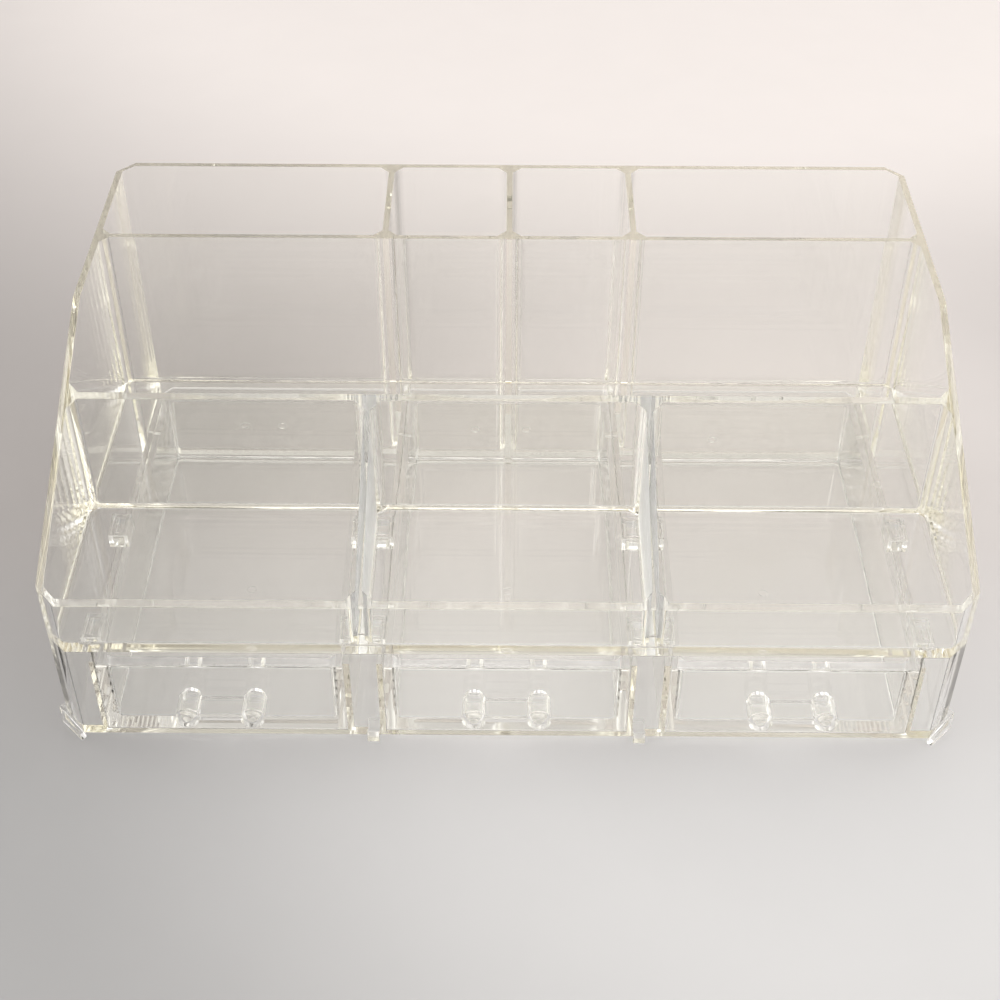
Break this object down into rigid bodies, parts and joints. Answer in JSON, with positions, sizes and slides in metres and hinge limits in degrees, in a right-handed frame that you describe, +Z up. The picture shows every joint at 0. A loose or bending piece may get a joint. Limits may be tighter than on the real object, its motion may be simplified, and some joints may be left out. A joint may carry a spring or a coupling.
{
  "type": "makeup organizer with drawers",
  "caption": "Clear plastic desk organizer: deep rear compartments, a long middle tray and divided front trays over small pull-out drawers.",
  "frame": {"origin": "centre of the bounding box on the table plane, pulls included", "axes": "+X to the right seen from the front, +Y to the back, +Z up; the drawers pull out along -Y"},
  "size_m": [0.305, 0.203, 0.11],
  "materials": {
    "tray_plastic": "clear, polished, faint yellow edge tint",
    "case_plastic": "clear, polished",
    "drawer_plastic": "clear, polished"
  },
  "bodies": {
    "organizer": {"left_side": "tray_plastic", "right_side": "tray_plastic", "front_corners": "tray_plastic", "back_corners": "tray_plastic", "front_lip": "tray_plastic", "back_panel": "tray_plastic", "front_divider": "tray_plastic", "rear_divider": "tray_plastic", "tray_floor": "tray_plastic", "rear_floor": "tray_plastic", "rear_partition_left": "tray_plastic", "rear_partition_center": "tray_plastic", "rear_partition_right": "tray_plastic", "tray_partition_left": "tray_plastic", "tray_partition_right": "tray_plastic", "rear_row_webs": "tray_plastic", "middle_row_webs": "tray_plastic", "front_row_webs": "tray_plastic", "locating_sleeves": "tray_plastic", "case_base": "case_plastic", "case_left_wall": "case_plastic", "case_right_wall": "case_plastic", "case_corners": "case_plastic", "post_fronts": "case_plastic", "drawer_guides": "case_plastic", "locating_pegs": "case_plastic", "corner_feet": "case_plastic", "post_feet": "case_plastic"},
    "drawer_left": {"drawer_left_front": "drawer_plastic", "drawer_left_floor": "drawer_plastic", "drawer_left_left_wall": "drawer_plastic", "drawer_left_right_wall": "drawer_plastic", "drawer_left_back_wall": "drawer_plastic", "drawer_left_pull": "drawer_plastic"},
    "drawer_center": {"drawer_center_front": "drawer_plastic", "drawer_center_floor": "drawer_plastic", "drawer_center_left_wall": "drawer_plastic", "drawer_center_right_wall": "drawer_plastic", "drawer_center_back_wall": "drawer_plastic", "drawer_center_pull": "drawer_plastic"},
    "drawer_right": {"drawer_right_front": "drawer_plastic", "drawer_right_floor": "drawer_plastic", "drawer_right_left_wall": "drawer_plastic", "drawer_right_right_wall": "drawer_plastic", "drawer_right_back_wall": "drawer_plastic", "drawer_right_pull": "drawer_plastic"}
  },
  "joints": [
    {"name": "drawer_left_slide", "type": "slide", "parent": "organizer", "child": "drawer_left", "axis": [0, -1, 0], "range_m": [0, 0.12]},
    {"name": "drawer_center_slide", "type": "slide", "parent": "organizer", "child": "drawer_center", "axis": [0, -1, 0], "range_m": [0, 0.12]},
    {"name": "drawer_right_slide", "type": "slide", "parent": "organizer", "child": "drawer_right", "axis": [0, -1, 0], "range_m": [0, 0.12]}
  ]
}
